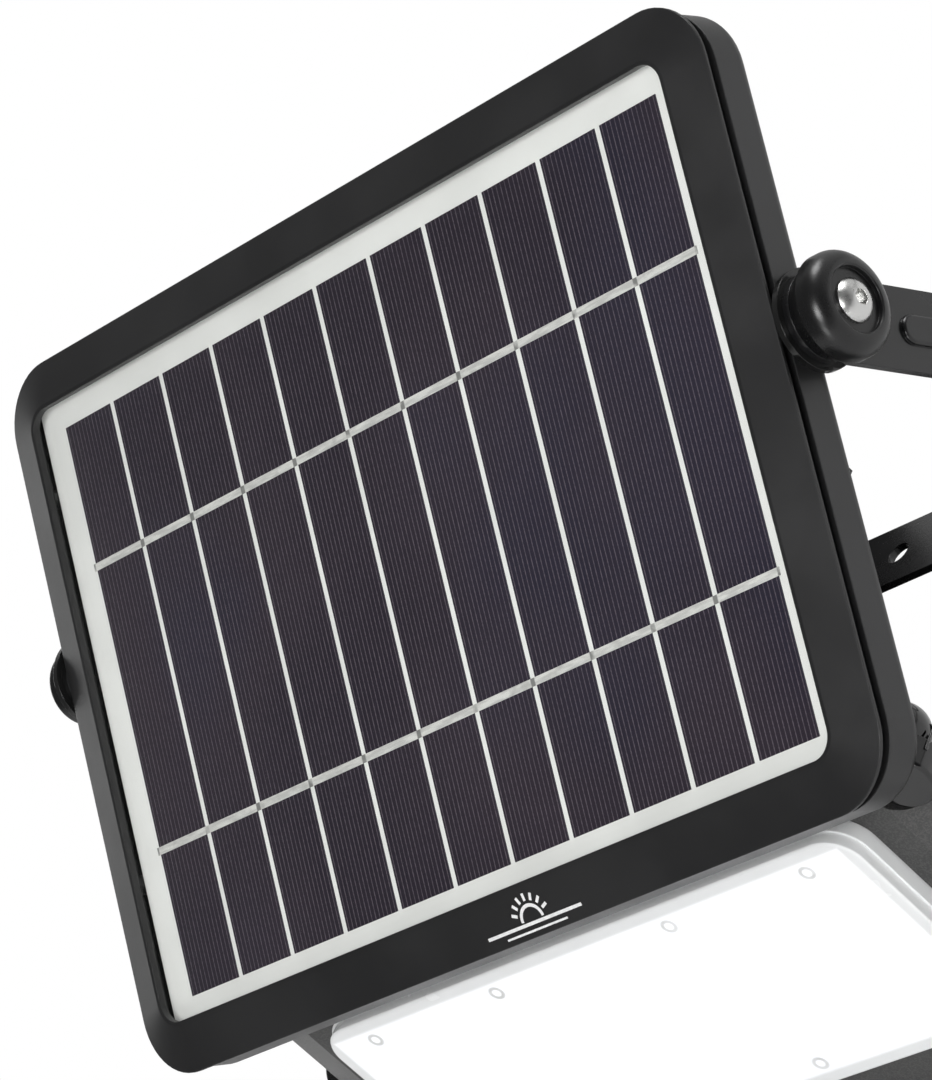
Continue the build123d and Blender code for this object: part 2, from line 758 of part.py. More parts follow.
# hollow of the rear shell
with BuildPart() as shell_cavity:
    with BuildSketch(lamp_at(shell_rim_back + 2)):
        with Locations(box_at):
            rounded(box, wall)
    extrude(amount=shell_back + wall - shell_rim_back - 2)
    fillet(shell_cavity.faces().sort_by(lamp_axis)[0].edges(), 6.0)
    with BuildSketch(lamp_at(frame_back)):
        with Locations(head_at):
            rounded(head, wall)
    extrude(amount=shell_rim_back + wall - frame_back)

# rear shell: thin rim behind the frame, deep box for battery and board
with BuildPart() as lamp_rear_shell:
    with BuildSketch(lamp_at(shell_rim_back + 2)):
        with Locations(box_at):
            rounded(box)
    extrude(amount=shell_back - shell_rim_back - 2)
    fillet(lamp_rear_shell.faces().sort_by(lamp_axis)[0].edges(), 8.0)
    with BuildSketch(lamp_at(shell_front)):
        with Locations(head_at):
            rounded(head)
    extrude(amount=shell_rim_back - shell_front)
    # upright fins on the back
    with BuildSketch(lamp_at(shell_back)):
        with Locations((0, -8)):
            with GridLocations(14, 1, 11, 1):
                Rectangle(2.0, 54)
    extrude(amount=-3.0)
    add(shell_cavity.part, mode=Mode.SUBTRACT)
    # pivot bosses, bored for the inserts
    for side in (1, -1):
        with BuildSketch(across_x(side * 96.5, lamp_pivot)):
            Circle(8.4)
        extrude(amount=side * 24.5)
        with BuildSketch(across_x(side * (lamp_boss_face - 4.7), lamp_pivot)):
            Circle(11.1)
        extrude(amount=side * 4.7)
        with BuildSketch(across_x(side * 106, lamp_pivot)):
            Circle(insert_hole_radius)
        extrude(amount=side * 20, mode=Mode.SUBTRACT)
    # posts for the LED plate
    with BuildSketch(lamp_at(-15.65)):
        circles(led_screw_at, 3.4)
    extrude(amount=-33.0)
    with BuildSketch(lamp_at(-15)):
        circles(led_screw_at, 1.4)
    extrude(amount=-11, mode=Mode.SUBTRACT)
    # posts for the frame screws: short ones in the rim, long ones in the box
    for places, length in ((side_screw_at, 4.5), (base_screw_at, 34.5)):
        with BuildSketch(lamp_at(-14.1)):
            circles(places, 3.4)
        extrude(amount=-length)
    with BuildSketch(lamp_at(-14)):
        circles(side_screw_at + base_screw_at, 1.6)
    extrude(amount=-40, mode=Mode.SUBTRACT)
    with BuildSketch(lamp_at(base_screw_seat)):
        circles(base_screw_at, 2.7)
    extrude(amount=-10, mode=Mode.SUBTRACT)
    # standoffs for the control board
    with BuildSketch(lamp_at(-38.05)):
        circles(grid((16, 78), (-8, -40)), 2.6)
    extrude(amount=-10.2)
    # walled seat for the corner stud, kept inside the head's outline
    with BuildSketch(lamp_at(-14.1)):
        circles([stud_at, ball_at], stud_radius + 2.2)
        with Locations((113.6, 61)):
            Rectangle(60, 40, mode=Mode.SUBTRACT)
        with Locations((142, 30)):
            Rectangle(40, 60, mode=Mode.SUBTRACT)
    extrude(amount=shell_rim_back + 14.1)
    with BuildSketch(lamp_at(-14.0)):
        circles([stud_at, ball_at], stud_radius + 0.1)
    extrude(amount=-8, mode=Mode.SUBTRACT)
    # button hole in the underside, gland hole in the back
    with BuildSketch(Plane.XY.offset(underside - 1)):
        circles([button_at], 5.2)
    extrude(amount=5, mode=Mode.SUBTRACT)
    with BuildSketch(lamp_at(-45)):
        circles([lamp_gland_at], 6.0)
    extrude(amount=-10, mode=Mode.SUBTRACT)
save(lamp_rear_shell, "lamp_rear_shell")

with BuildPart() as frame_screws:
    for places, seat, shank in ((side_screw_at, shell_rim_back, 9.5),
                                (base_screw_at, base_screw_seat, 33.5)):
        with BuildSketch(lamp_at(seat)):
            circles(places, 2.6)
        extrude(amount=-1.8)
        with BuildSketch(lamp_at(seat - 2.0)):
            crosses(places, 3.2, 0.7)
        extrude(amount=1.0, mode=Mode.SUBTRACT)
        with BuildSketch(lamp_at(seat)):
            circles(places, 1.45)
        extrude(amount=shank)
save(frame_screws, "frame_screws")

# ball on a short round base at the top right corner
with BuildPart() as corner_stud:
    with BuildSketch(lamp_at(-8.6)):
        circles([stud_at], stud_radius)
    extrude(amount=-8.4)
    fillet(corner_stud.faces().sort_by(lamp_axis)[-1].edges(), 1.0)
    with Locations((ball_at[0], lens_front - ball_level, lamp_z + ball_at[1])):
        Sphere(ball_radius)
save(corner_stud, "corner_stud")

# ---------------------------------------------------------------- LEDs
tray = (184, 61.5, 3)

with BuildPart() as heat_plate:
    with BuildSketch(lamp_at(led_front - led_board_thick)):
        RectangleRounded(190, 67, 4)
        circles(led_screw_at, 1.5, Mode.SUBTRACT)
    extrude(amount=-heat_plate_thick)
save(heat_plate, "heat_plate")

with BuildPart() as led_board:
    with BuildSketch(lamp_at(led_front)):
        RectangleRounded(186, 63.5, 3)
        circles(led_screw_at, 1.5, Mode.SUBTRACT)
    extrude(amount=-led_board_thick)
save(led_board, "led_board")

with BuildPart() as led_chips:
    with BuildSketch(lamp_at(led_front)):
        with GridLocations(15, 14, 12, 4):
            Rectangle(3.5, 2.8)
    extrude(amount=0.8)
save(led_chips, "led_chips")

# perforated floor with a thin wall round its edge
with BuildPart() as reflector_tray:
    with BuildSketch(lamp_at(led_front)):
        rounded(tray)
        with GridLocations(15, 14, 12, 4):
            Rectangle(5.2, 4.6, mode=Mode.SUBTRACT)
        circles(led_screw_at, 3.0, Mode.SUBTRACT)
    extrude(amount=0.4)
    with BuildSketch(lamp_at(led_front)):
        rounded(tray)
        RectangleRounded(tray[0] - 1.4, tray[1] - 1.4, 2.4, mode=Mode.SUBTRACT)
    extrude(amount=5.5)
save(reflector_tray, "reflector_tray")

with BuildPart() as board_screws:
    with BuildSketch(lamp_at(led_front)):
        circles(led_screw_at, 2.4)
    extrude(amount=1.5)
    with BuildSketch(lamp_at(led_front + 1.7)):
        crosses(led_screw_at, 3.0, 0.6)
    extrude(amount=-0.9, mode=Mode.SUBTRACT)
    with BuildSketch(lamp_at(led_front)):
        circles(led_screw_at, 1.35)
    extrude(amount=-12.0)
save(board_screws, "board_screws")

# ---------------------------------------------------------------- battery
battery_start, battery_length, battery_radius = -80.0, 65.0, 9.2
battery_centres = [(lens_front + 31, lamp_z + y) for y in (12.0, -8.0)]

# two cylindrical lithium cells lying along X
with BuildPart() as battery_cells:
    for centre in battery_centres:
        with BuildSketch(across_x(battery_start, centre)):
            Circle(battery_radius)
        extrude(amount=battery_length)
    fillet(battery_cells.edges().filter_by(GeomType.CIRCLE), 0.8)
save(battery_cells, "battery_cells")

with BuildPart() as battery_holder:
    with BuildSketch(lamp_at(-33.0)):
        with Locations((-47.5, 2)):
            RectangleRounded(71, 42, 3)
    extrude(amount=-9.4)
    # feet
    with BuildSketch(lamp_at(-42.0)):
        circles(grid((-75, -20), (-10, 12)), 3.0)
    extrude(amount=-5.75)
    for centre in battery_centres:
        with BuildSketch(across_x(battery_start - 0.3, centre)):
            Circle(battery_radius + 0.1)
        extrude(amount=battery_length + 0.6, mode=Mode.SUBTRACT)
save(battery_holder, "battery_holder")

# ---------------------------------------------------------------- control board
with BuildPart() as control_board:
    with BuildSketch(lamp_at(control_front)):
        with Locations((47, -24)):
            RectangleRounded(70, 40, 2)
    extrude(amount=-1.6)
save(control_board, "control_board")

# tall blocks, low chips, round cans
with BuildPart() as control_parts:
    with BuildSketch(lamp_at(control_front)):
        with Locations((22, -14), (22, -30)):
            Rectangle(9, 10)
    extrude(amount=7.0)
    with BuildSketch(lamp_at(control_front)):
        with Locations((38, -14)):
            Rectangle(9, 6)
        with Locations((40, -32)):
            Rectangle(5, 4)
    extrude(amount=1.6)
    with BuildSketch(lamp_at(control_front)):
        circles([(54, -16), (66, -16)], 4.0)
    extrude(amount=9.0)
save(control_parts, "control_parts")

with BuildPart() as mode_switch:
    with BuildSketch(lamp_at(control_front)):
        with Locations((button_x, -43.2)):
            Rectangle(8, 6.6)
    extrude(amount=4.8)
save(mode_switch, "mode_switch")

# ---------------------------------------------------------------- motion sensor
dome_radius, dome_inner_radius = 8.2, 7.2
dome_centre = (0, lens_front + 7.0, lamp_z + pir_y)
dome_back = -9.3
pir_board_front = -15.5

# small dome with a flange; everything behind the flange is cut away
with BuildPart() as pir_cover:
    with Locations(dome_centre):
        Sphere(dome_radius)
    with BuildSketch(lamp_at(dome_back)):
        circles([pir_at], 9.4)
    extrude(amount=1.0)
    with BuildSketch(lamp_at(dome_back + 1.0)):
        circles([pir_at], dome_radius)
    extrude(amount=1.3)
    with BuildSketch(lamp_at(dome_back)):
        circles([pir_at], 14)
    extrude(amount=-12, mode=Mode.SUBTRACT)
    with BuildSketch(lamp_at(dome_back)):
        circles([pir_at], dome_inner_radius)
    extrude(amount=2.3, mode=Mode.SUBTRACT)
    with Locations(dome_centre):
        Sphere(dome_inner_radius, mode=Mode.SUBTRACT)
save(pir_cover, "pir_cover")

with BuildPart() as pir_board:
    with BuildSketch(lamp_at(pir_board_front)):
        with Locations((0, -43.2)):
            Rectangle(24, 15)
    extrude(amount=-1.2)
save(pir_board, "pir_board")

with BuildPart() as pir_sensor:
    with BuildSketch(lamp_at(pir_board_front)):
        circles([pir_at], 4.6)
    extrude(amount=0.5)
    with BuildSketch(lamp_at(pir_board_front + 0.5)):
        with Locations(pir_at):
            Circle(4.1)
            Rectangle(3.4, 2.8, mode=Mode.SUBTRACT)
    extrude(amount=3.6)
save(pir_sensor, "pir_sensor")

# ---------------------------------------------------------------- gland and cable
save(cable_gland(lamp_at(shell_back), lamp_gland_at, wall), "lamp_gland")
save(cable(lamp_at(-69.5), lamp_gland_at, 30), "lamp_cable")

# ---------------------------------------------------------------- mode button
guide_bore_radius = 4.85

with BuildPart() as button_guide:
    with BuildSketch(Plane.XY.offset(underside - 1.0)):
        with Locations(button_at):
            Circle(7.0)
            Circle(guide_bore_radius, mode=Mode.SUBTRACT)
    extrude(amount=1.0)
    with BuildSketch(Plane.XY.offset(underside)):
        with Locations(button_at):
            Circle(5.15)
            Circle(guide_bore_radius, mode=Mode.SUBTRACT)
    extrude(amount=wall)
save(button_guide, "button_guide")

# cap below, collar inside the shell, thin stem on top
with BuildPart() as mode_button:
    with BuildSketch(Plane.XY.offset(underside - 2.4)):
        circles([button_at], 4.8)
    extrude(amount=5.6)
    fillet(mode_button.faces().sort_by(Axis.Z)[0].edges(), 0.8)
    with BuildSketch(Plane.XY.offset(underside + 2.3)):
        circles([button_at], 6.2)
    extrude(amount=1.0)
    with BuildSketch(Plane.XY.offset(underside + 3.3)):
        circles([button_at], 1.6)
    extrude(amount=3.6)
save(mode_button, "mode_button")

with BuildPart() as button_spring:
    with BuildLine() as coil:
        Helix(pitch=1.35, height=5.4, radius=2.7, center=(*button_at, underside + 3.7))
    with BuildSketch(Plane(origin=coil.line @ 0, z_dir=coil.line % 0)):
        Circle(0.28)
    sweep(is_frenet=True)
save(button_spring, "button_spring")
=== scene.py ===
# A solar wall lamp: a tilted solar panel on a wall bracket with a lamp below it and a
# cable between them.
import bpy
import bmesh
import math
from mathutils import Vector, Matrix

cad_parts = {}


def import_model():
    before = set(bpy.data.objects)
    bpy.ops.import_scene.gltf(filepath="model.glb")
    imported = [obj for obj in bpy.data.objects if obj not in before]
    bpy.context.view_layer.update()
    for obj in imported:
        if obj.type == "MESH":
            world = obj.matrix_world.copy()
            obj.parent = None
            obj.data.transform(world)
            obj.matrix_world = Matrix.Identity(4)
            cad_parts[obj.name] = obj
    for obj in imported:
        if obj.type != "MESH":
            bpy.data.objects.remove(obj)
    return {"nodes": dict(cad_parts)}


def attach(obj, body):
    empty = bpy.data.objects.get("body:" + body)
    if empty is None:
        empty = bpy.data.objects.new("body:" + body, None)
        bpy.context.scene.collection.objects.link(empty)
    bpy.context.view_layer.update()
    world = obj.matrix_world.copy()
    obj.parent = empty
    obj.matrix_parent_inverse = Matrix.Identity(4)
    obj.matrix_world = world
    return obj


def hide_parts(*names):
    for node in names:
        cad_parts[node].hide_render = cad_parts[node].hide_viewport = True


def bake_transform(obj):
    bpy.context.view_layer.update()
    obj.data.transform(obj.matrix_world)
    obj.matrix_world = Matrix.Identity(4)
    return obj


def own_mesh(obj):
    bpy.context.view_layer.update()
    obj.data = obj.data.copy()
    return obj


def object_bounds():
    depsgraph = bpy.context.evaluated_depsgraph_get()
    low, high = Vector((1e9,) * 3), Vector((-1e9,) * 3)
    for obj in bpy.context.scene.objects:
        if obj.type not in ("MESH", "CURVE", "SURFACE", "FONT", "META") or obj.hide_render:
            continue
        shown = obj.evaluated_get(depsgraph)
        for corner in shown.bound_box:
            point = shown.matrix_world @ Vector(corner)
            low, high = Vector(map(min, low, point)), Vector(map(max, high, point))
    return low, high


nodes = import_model()["nodes"]
start_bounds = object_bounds()

# ------------------------------------------------------------------ dimensions, in metres
MM = 0.001
PANEL_TILT = math.radians(43)
TILT_COS = round(math.cos(PANEL_TILT), 7)
TILT_SIN = round(math.sin(PANEL_TILT), 7)
PANEL_ORIGIN_MM = (-105, 50)           # y and z of the panel's own origin
BEHIND_PANEL = Vector((0, TILT_SIN, -TILT_COS))

CELL_PITCH = 0.0212727                 # from one silicon strip to the next, along X
LENS_Z = -0.065                        # height of the lens middle

CABLE_RADIUS = 0.0025
CABLE_STEPS = 36
PANEL_GLAND_MM = (-20, 0, -31.0)       # in panel coordinates
CLIP_Y, CLIP_Z = -0.0538, -0.0312
CLIP_RIGHT_X, CLIP_LEFT_X = -0.0330, -0.0650   # where the cable meets the clips
LAMP_GLAND = (-0.082, -0.0944, -0.103)

SPRING_X, SPRING_Y = 0.070, -0.1279
SPRING_BOTTOM_Z = -0.1173
SPRING_RADIUS = 0.0027
SPRING_WIRE = 0.00028
SPRING_PITCH = 0.00135
SPRING_TURNS = 4
SPRING_STEPS = 28                      # per turn


def panel_point(x, y, z):
    """Turn panel coordinates in millimetres into a world point in metres."""
    origin_y, origin_z = PANEL_ORIGIN_MM
    return Vector((x, origin_y + TILT_COS * y - TILT_SIN * z,
                   origin_z + TILT_SIN * y + TILT_COS * z)) * MM


# ------------------------------------------------------------------ shader nodes
class Nodes:
    """Builds the node tree of a material or a world."""

    def __init__(self, owner, output_kind="ShaderNodeOutputMaterial"):
        self.owner = owner
        owner.use_nodes = True
        self.tree = owner.node_tree
        self.tree.nodes.clear()
        self.output = self.node(output_kind)
        self.coords = self.node("ShaderNodeTexCoord").outputs

    def node(self, kind, inputs=None, **settings):
        node = self.tree.nodes.new(kind)
        for key, value in settings.items():
            setattr(node, key, value)
        for key, value in (inputs or {}).items():
            self.put(node.inputs[key], value)
        return node

    def put(self, socket, value):
        if isinstance(value, bpy.types.NodeSocket):
            self.tree.links.new(value, socket)
        elif socket.type == "RGBA":
            socket.default_value = (*value, 1)
        else:
            socket.default_value = value

    def calc(self, operation, a, b=None):
        inputs = {0: a} if b is None else {0: a, 1: b}
        return self.node("ShaderNodeMath", inputs, operation=operation).outputs[0]

    def off_middle(self, phase):
        """Distance from the middle of each unit step of phase, 0 to 0.5."""
        return self.calc("ABSOLUTE", self.calc("SUBTRACT", self.calc("FRACT", phase), 0.5))

    def length(self, a, b):
        squares = self.calc("MULTIPLY", a, a), self.calc("MULTIPLY", b, b)
        return self.calc("SQRT", self.calc("ADD", *squares))

    def jitter(self, value, noise, amount):
        """Add a noise centred on zero to a value."""
        centred = self.calc("SUBTRACT", noise, 0.5)
        return self.calc("ADD", value, self.calc("MULTIPLY", centred, amount))

    def ramp(self, value, span, to=(0.0, 1.0)):
        """Smooth step of value across span, mapped onto to."""
        inputs = {"Value": value, "From Min": span[0], "From Max": span[1],
                  "To Min": to[0], "To Max": to[1]}
        node = self.node("ShaderNodeMapRange", inputs, interpolation_type="SMOOTHSTEP")
        return node.outputs["Result"]

    def noise(self, scale, detail, rough=0.5, stretch=None):
        vector = self.coords["Object"]
        if stretch:
            mapping = self.node("ShaderNodeMapping", {"Vector": vector, "Scale": stretch})
            vector = mapping.outputs[0]
        inputs = {"Vector": vector, "Scale": scale, "Detail": detail, "Roughness": rough}
        return self.node("ShaderNodeTexNoise", inputs).outputs["Fac"]

    def mix(self, factor, a, b):
        inputs = {0: factor, 6: a, 7: b}
        return self.node("ShaderNodeMix", inputs, data_type="RGBA").outputs[2]

    def mix_shaders(self, factor, a, b):
        return self.node("ShaderNodeMixShader", {0: factor, 1: a, 2: b}).outputs[0]

    def camera_ray(self):
        return self.node("ShaderNodeLightPath").outputs["Is Camera Ray"]

    def xyz(self, space="Object"):
        return self.node("ShaderNodeSeparateXYZ", {0: self.coords[space]}).outputs

    def bsdf(self, color, rough, metal=0.0, spec=0.5, coat=0.0, normal=None, glow=None):
        """Principled surface; glow is the strength of emission in its own colour, used here only
        to paint light onto the backsheet and the unlit lens.
        """
        inputs = {"Base Color": color, "Roughness": rough, "Metallic": metal,
                  "Specular IOR Level": spec, "Coat Weight": coat, "Coat Roughness": 0.08}
        if normal is not None:
            inputs["Normal"] = normal
        if glow is not None:
            inputs["Emission Color"] = color
            inputs["Emission Strength"] = glow
        return self.node("ShaderNodeBsdfPrincipled", inputs).outputs[0]

    def bump(self, height, strength, dist, bevel=0.0):
        """Bump normal, over edges rounded by the bevel radius if there is one."""
        inputs = {"Height": height, "Strength": strength, "Distance": dist}
        if bevel:
            edge = self.node("ShaderNodeBevel", {"Radius": bevel}, samples=4)
            inputs["Normal"] = edge.outputs[0]
        return self.node("ShaderNodeBump", inputs).outputs[0]

    def finish(self, shader):
        self.put(self.output.inputs["Surface"], shader)
        return self.owner


def material_nodes(name):
    return Nodes(bpy.data.materials.new(name))


# ------------------------------------------------------------------ materials
def surface(name, dark, light, rough, metal=0.0, spec=0.5, grain=2500, strength=0.25,
            dist=0.00008, bevel=0.0, coat=0.0, stretch=None, wear=0.0, wear_color=None):
    """Moulded, painted or drawn surface: fine grain, cloudy colour and faint wear."""
    t = material_nodes(name)
    cloud = t.noise(scale=25.0, detail=4.0, rough=0.55)
    fine = t.noise(scale=grain, detail=2.0, rough=0.6, stretch=stretch)
    color = t.mix(t.ramp(cloud, span=(0.35, 0.65)), dark, light)
    roughness = t.jitter(t.ramp(cloud, span=(0.3, 0.7), to=rough), fine, amount=0.12)
    if wear:
        scuff = t.noise(scale=180.0, detail=6.0, rough=0.7)
        worn = t.ramp(scuff, span=(0.68, 0.78), to=(0.0, wear))
        color = t.mix(worn, color, wear_color)
        roughness = t.calc("ADD", roughness, t.calc("MULTIPLY", worn, 0.25))
    normal = t.bump(fine, strength, dist, bevel)
    return t.finish(t.bsdf(color, roughness, metal, spec, coat, normal))


def frame_paint():
    """Dark grey metallic paint with a visible grain."""
    t = material_nodes("lamp_frame_paint")
    cloud = t.noise(scale=22.0, detail=3.0)
    grain = t.noise(scale=1900.0, detail=2.0, rough=0.7)
    flake = t.noise(scale=5200.0, detail=1.0)
    color = t.mix(t.ramp(cloud, span=(0.35, 0.65)), (0.060, 0.060, 0.060), (0.078, 0.078, 0.077))
    color = t.mix(t.ramp(grain, span=(0.42, 0.62), to=(0.0, 0.45)), color, (0.13, 0.128, 0.125))
    rough = t.jitter(t.ramp(cloud, span=(0.3, 0.7), to=(0.36, 0.44)), flake, amount=0.35)
    normal = t.bump(grain, strength=0.55, dist=0.00012, bevel=0.0004)
    return t.finish(t.bsdf(color, rough, metal=0.55, normal=normal))


def cell_phase(t, x):
    """Position along X in strips: 0.5 past a whole number at a strip's middle."""
    return t.calc("ADD", t.calc("DIVIDE", x, CELL_PITCH), 20.5)


def silicon_cells():
    """Dark violet silicon with fine silver fingers along each strip."""
    finger_pitch_mm = 1.50
    t = material_nodes("silicon_cells")
    from_middle = t.calc("SUBTRACT", t.calc("FRACT", cell_phase(t, t.xyz()[0])), 0.5)
    offset_mm = t.calc("MULTIPLY", from_middle, CELL_PITCH / MM)
    finger = t.off_middle(t.calc("ADD", t.calc("DIVIDE", offset_mm, finger_pitch_mm), 20.5))
    line = t.ramp(finger, span=(0.06, 0.13), to=(1.0, 0.0))
    edge = t.ramp(t.calc("ABSOLUTE", offset_mm), span=(9.45, 9.70))
    cloud = t.noise(scale=14.0, detail=3.0)
    blue = t.noise(scale=9.0, detail=2.0)
    speck = t.noise(scale=700.0, detail=3.0, rough=0.6)
    color = t.mix(t.ramp(cloud, span=(0.35, 0.65)),
                  (0.0190, 0.0145, 0.0250), (0.0290, 0.0215, 0.0330))
    color = t.mix(t.ramp(blue, span=(0.45, 0.65), to=(0.0, 0.5)), color, (0.0180, 0.0190, 0.042))
    color = t.mix(t.ramp(speck, span=(0.4, 0.7), to=(0.0, 0.30)), color, (0.030, 0.022, 0.034))
    dots = t.ramp(t.noise(scale=1500.0, detail=1.0), span=(0.35, 0.65), to=(0.55, 1.0))
    color = t.mix(t.calc("MULTIPLY", line, dots), color, (0.150, 0.125, 0.150))
    color = t.mix(t.calc("MULTIPLY", edge, 0.3), color, (0.11, 0.10, 0.12))
    rough = t.ramp(cloud, span=(0.3, 0.7), to=(0.38, 0.48))
    normal = t.bump(speck, strength=0.2, dist=0.00005)
    return t.finish(t.bsdf(color, rough, spec=0.25, normal=normal))


def tinned_ribbon():
    """Streaky, blotched tin, darker over the gaps between the strips."""
    t = material_nodes("tinned_ribbon")
    gap = t.ramp(t.off_middle(cell_phase(t, t.xyz()[0])), span=(0.455, 0.475))
    streak = t.noise(scale=900.0, detail=3.0, rough=0.6, stretch=(0.15, 1, 1))
    blot = t.noise(scale=160.0, detail=3.0, rough=0.6)
    color = t.mix(t.ramp(streak, span=(0.35, 0.65)), (0.62, 0.615, 0.60), (0.82, 0.815, 0.79))
    color = t.mix(t.ramp(blot, span=(0.55, 0.72), to=(0.0, 0.45)), color, (0.46, 0.455, 0.44))
    gap_blot = t.ramp(blot, span=(0.38, 0.52), to=(0.25, 0.9))
    color = t.mix(t.calc("MULTIPLY", gap, gap_blot), color, (0.20, 0.20, 0.195))
    rough = t.ramp(streak, span=(0.3, 0.7), to=(0.3, 0.5))
    normal = t.bump(streak, strength=0.4, dist=0.00006)
    return t.finish(t.bsdf(color, rough, metal=0.05, normal=normal))


def backsheet():
    """White sheet behind the cells, with a slight glow of painted light that evens out the shade
    on it.
    """
    t = material_nodes("backsheet")
    cloud = t.noise(scale=30.0, detail=4.0)
    fine = t.noise(scale=1200.0, detail=2.0)
    color = t.mix(t.ramp(cloud, span=(0.3, 0.7)), (0.72, 0.72, 0.705), (0.79, 0.79, 0.775))
    rough = t.ramp(fine, span=(0.3, 0.7), to=(0.45, 0.6))
    normal = t.bump(fine, strength=0.2, dist=0.00005)
    # painted light: the emission lifts the sheet evenly in place of fill light, flattening the
    # shade cast by the bezel lip
    return t.finish(t.bsdf(color, rough, spec=0.4, normal=normal, glow=0.22))


def solar_glass():
    """Clear cover glass: lets the cells show, with a thin reflection."""
    t = material_nodes("solar_glass")
    clear = t.node("ShaderNodeBsdfTransparent", {"Color": (0.985, 0.99, 0.985)})
    smudge = t.noise(scale=25.0, detail=5.0, rough=0.6)
    fine = t.noise(scale=1500.0, detail=2.0)
    gloss = t.node("ShaderNodeBsdfGlossy", {
        "Roughness": t.ramp(smudge, span=(0.35, 0.7), to=(0.05, 0.16)),
        "Normal": t.bump(fine, strength=0.04, dist=0.00003)})
    fresnel = t.node("ShaderNodeFresnel", {"IOR": 1.25})
    factor = t.calc("MULTIPLY", fresnel.outputs[0], 0.35)
    return t.finish(t.mix_shaders(factor, clear.outputs[0], gloss.outputs[0]))


def lens_diffuser():
    """White diffuser with a painted glow standing in for the light on it: faint emitter spots,
    moulded rings, and a grey band of painted shade over the rim's edge fillet, with a slightly
    lighter painted highlight along its outer edge.
    """
    # all in millimetres from the lens middle
    ring_columns, ring_row = (79.2, 31.7), 27.5
    rim_half_width, rim_half_height = 91.5, 30.2
    spot_pitch_x, spot_pitch_y = 15.0, 14.0

    t = material_nodes("lens_diffuser")
    position = t.xyz()
    across = t.calc("MULTIPLY", position[0], 1000.0)
    up = t.calc("MULTIPLY", t.calc("ADD", position[2], -LENS_Z), 1000.0)
    abs_across, abs_up = t.calc("ABSOLUTE", across), t.calc("ABSOLUTE", up)

    from_row = t.calc("SUBTRACT", abs_up, ring_row)
    distances = [t.length(t.calc("SUBTRACT", abs_across, column), from_row)
                 for column in ring_columns]
    to_ring = t.calc("MINIMUM", *distances)
    ring = t.calc("MULTIPLY", t.ramp(to_ring, span=(1.0, 1.5)),
                  t.ramp(to_ring, span=(1.9, 2.5), to=(1.0, 0.0)))
    rim = t.calc("MAXIMUM", t.calc("SUBTRACT", abs_across, rim_half_width),
                 t.calc("SUBTRACT", abs_up, rim_half_height))
    # painted shade: the grey band over the rim's edge fillet
    painted_rim_shade = t.ramp(rim, span=(0.0, 1.4))
    # painted highlight: a slightly lighter strip along the rim's outer edge
    painted_rim_highlight = t.ramp(rim, span=(2.9, 3.5))

    def spot_offset(value, pitch, shift):
        # shifted by whole pitches, so that the phase stays positive
        return t.off_middle(t.calc("DIVIDE", t.calc("ADD", value, shift * pitch), pitch))

    to_spot = t.length(spot_offset(across, spot_pitch_x, shift=60),
                       spot_offset(up, spot_pitch_y, shift=50))
    spot = t.ramp(to_spot, span=(0.10, 0.22), to=(1.0, 0.0))

    blot = t.noise(scale=140.0, detail=3.0, rough=0.6)
    cloud = t.noise(scale=45.0, detail=3.0, rough=0.6)
    fine = t.noise(scale=1500.0, detail=2.0)
    spot_blot = t.ramp(blot, span=(0.40, 0.62), to=(0.0, 0.30))
    ring_blot = t.ramp(blot, span=(0.3, 0.7), to=(0.55, 0.95))
    color = t.mix(t.ramp(cloud, span=(0.35, 0.65)), (0.90, 0.91, 0.93), (0.96, 0.965, 0.98))
    color = t.mix(t.calc("MULTIPLY", spot, spot_blot), color, (0.80, 0.80, 0.74))
    # painted shade on the rim band, then the painted highlight along its outer edge
    color = t.mix(t.calc("MULTIPLY", painted_rim_shade, 0.75), color, (0.70, 0.71, 0.71))
    color = t.mix(t.calc("MULTIPLY", painted_rim_highlight, 0.5), color, (0.78, 0.79, 0.79))
    color = t.mix(t.calc("MULTIPLY", ring, ring_blot), color, (0.45, 0.45, 0.45))
    rough = t.ramp(cloud, span=(0.3, 0.7), to=(0.18, 0.28))
    # painted light: the unlit diffuser glows everywhere except the shaded rim band
    painted_glow = t.calc("SUBTRACT", 1.0, t.calc("MULTIPLY", painted_rim_shade, 0.78))
    normal = t.bump(fine, strength=0.10, dist=0.00004, bevel=0.0004)
    return t.finish(t.bsdf(color, rough, normal=normal, glow=t.calc("MULTIPLY", painted_glow, 0.18)))


def white_print():
    t = material_nodes("white_print")
    noise = t.noise(scale=900.0, detail=3.0, rough=0.6)
    color = t.mix(t.ramp(noise, span=(0.3, 0.7)), (0.74, 0.74, 0.74), (0.86, 0.86, 0.86))
    rough = t.ramp(noise, span=(0.3, 0.7), to=(0.4, 0.6))
    normal = t.bump(noise, strength=0.2, dist=0.00003)
    return t.finish(t.bsdf(color, rough, spec=0.4, normal=normal))


def pale_floor():
    """Plain white to the camera, pale grey to the light."""
    t = material_nodes("pale_floor")
    color = t.mix(t.noise(scale=3.0, detail=3.0), (0.82, 0.82, 0.82), (0.86, 0.86, 0.86))
    white = t.node("ShaderNodeEmission", {"Strength": 1.0}).outputs[0]
    return t.finish(t.mix_shaders(t.camera_ray(), t.bsdf(color, rough=0.7, spec=0.1), white))


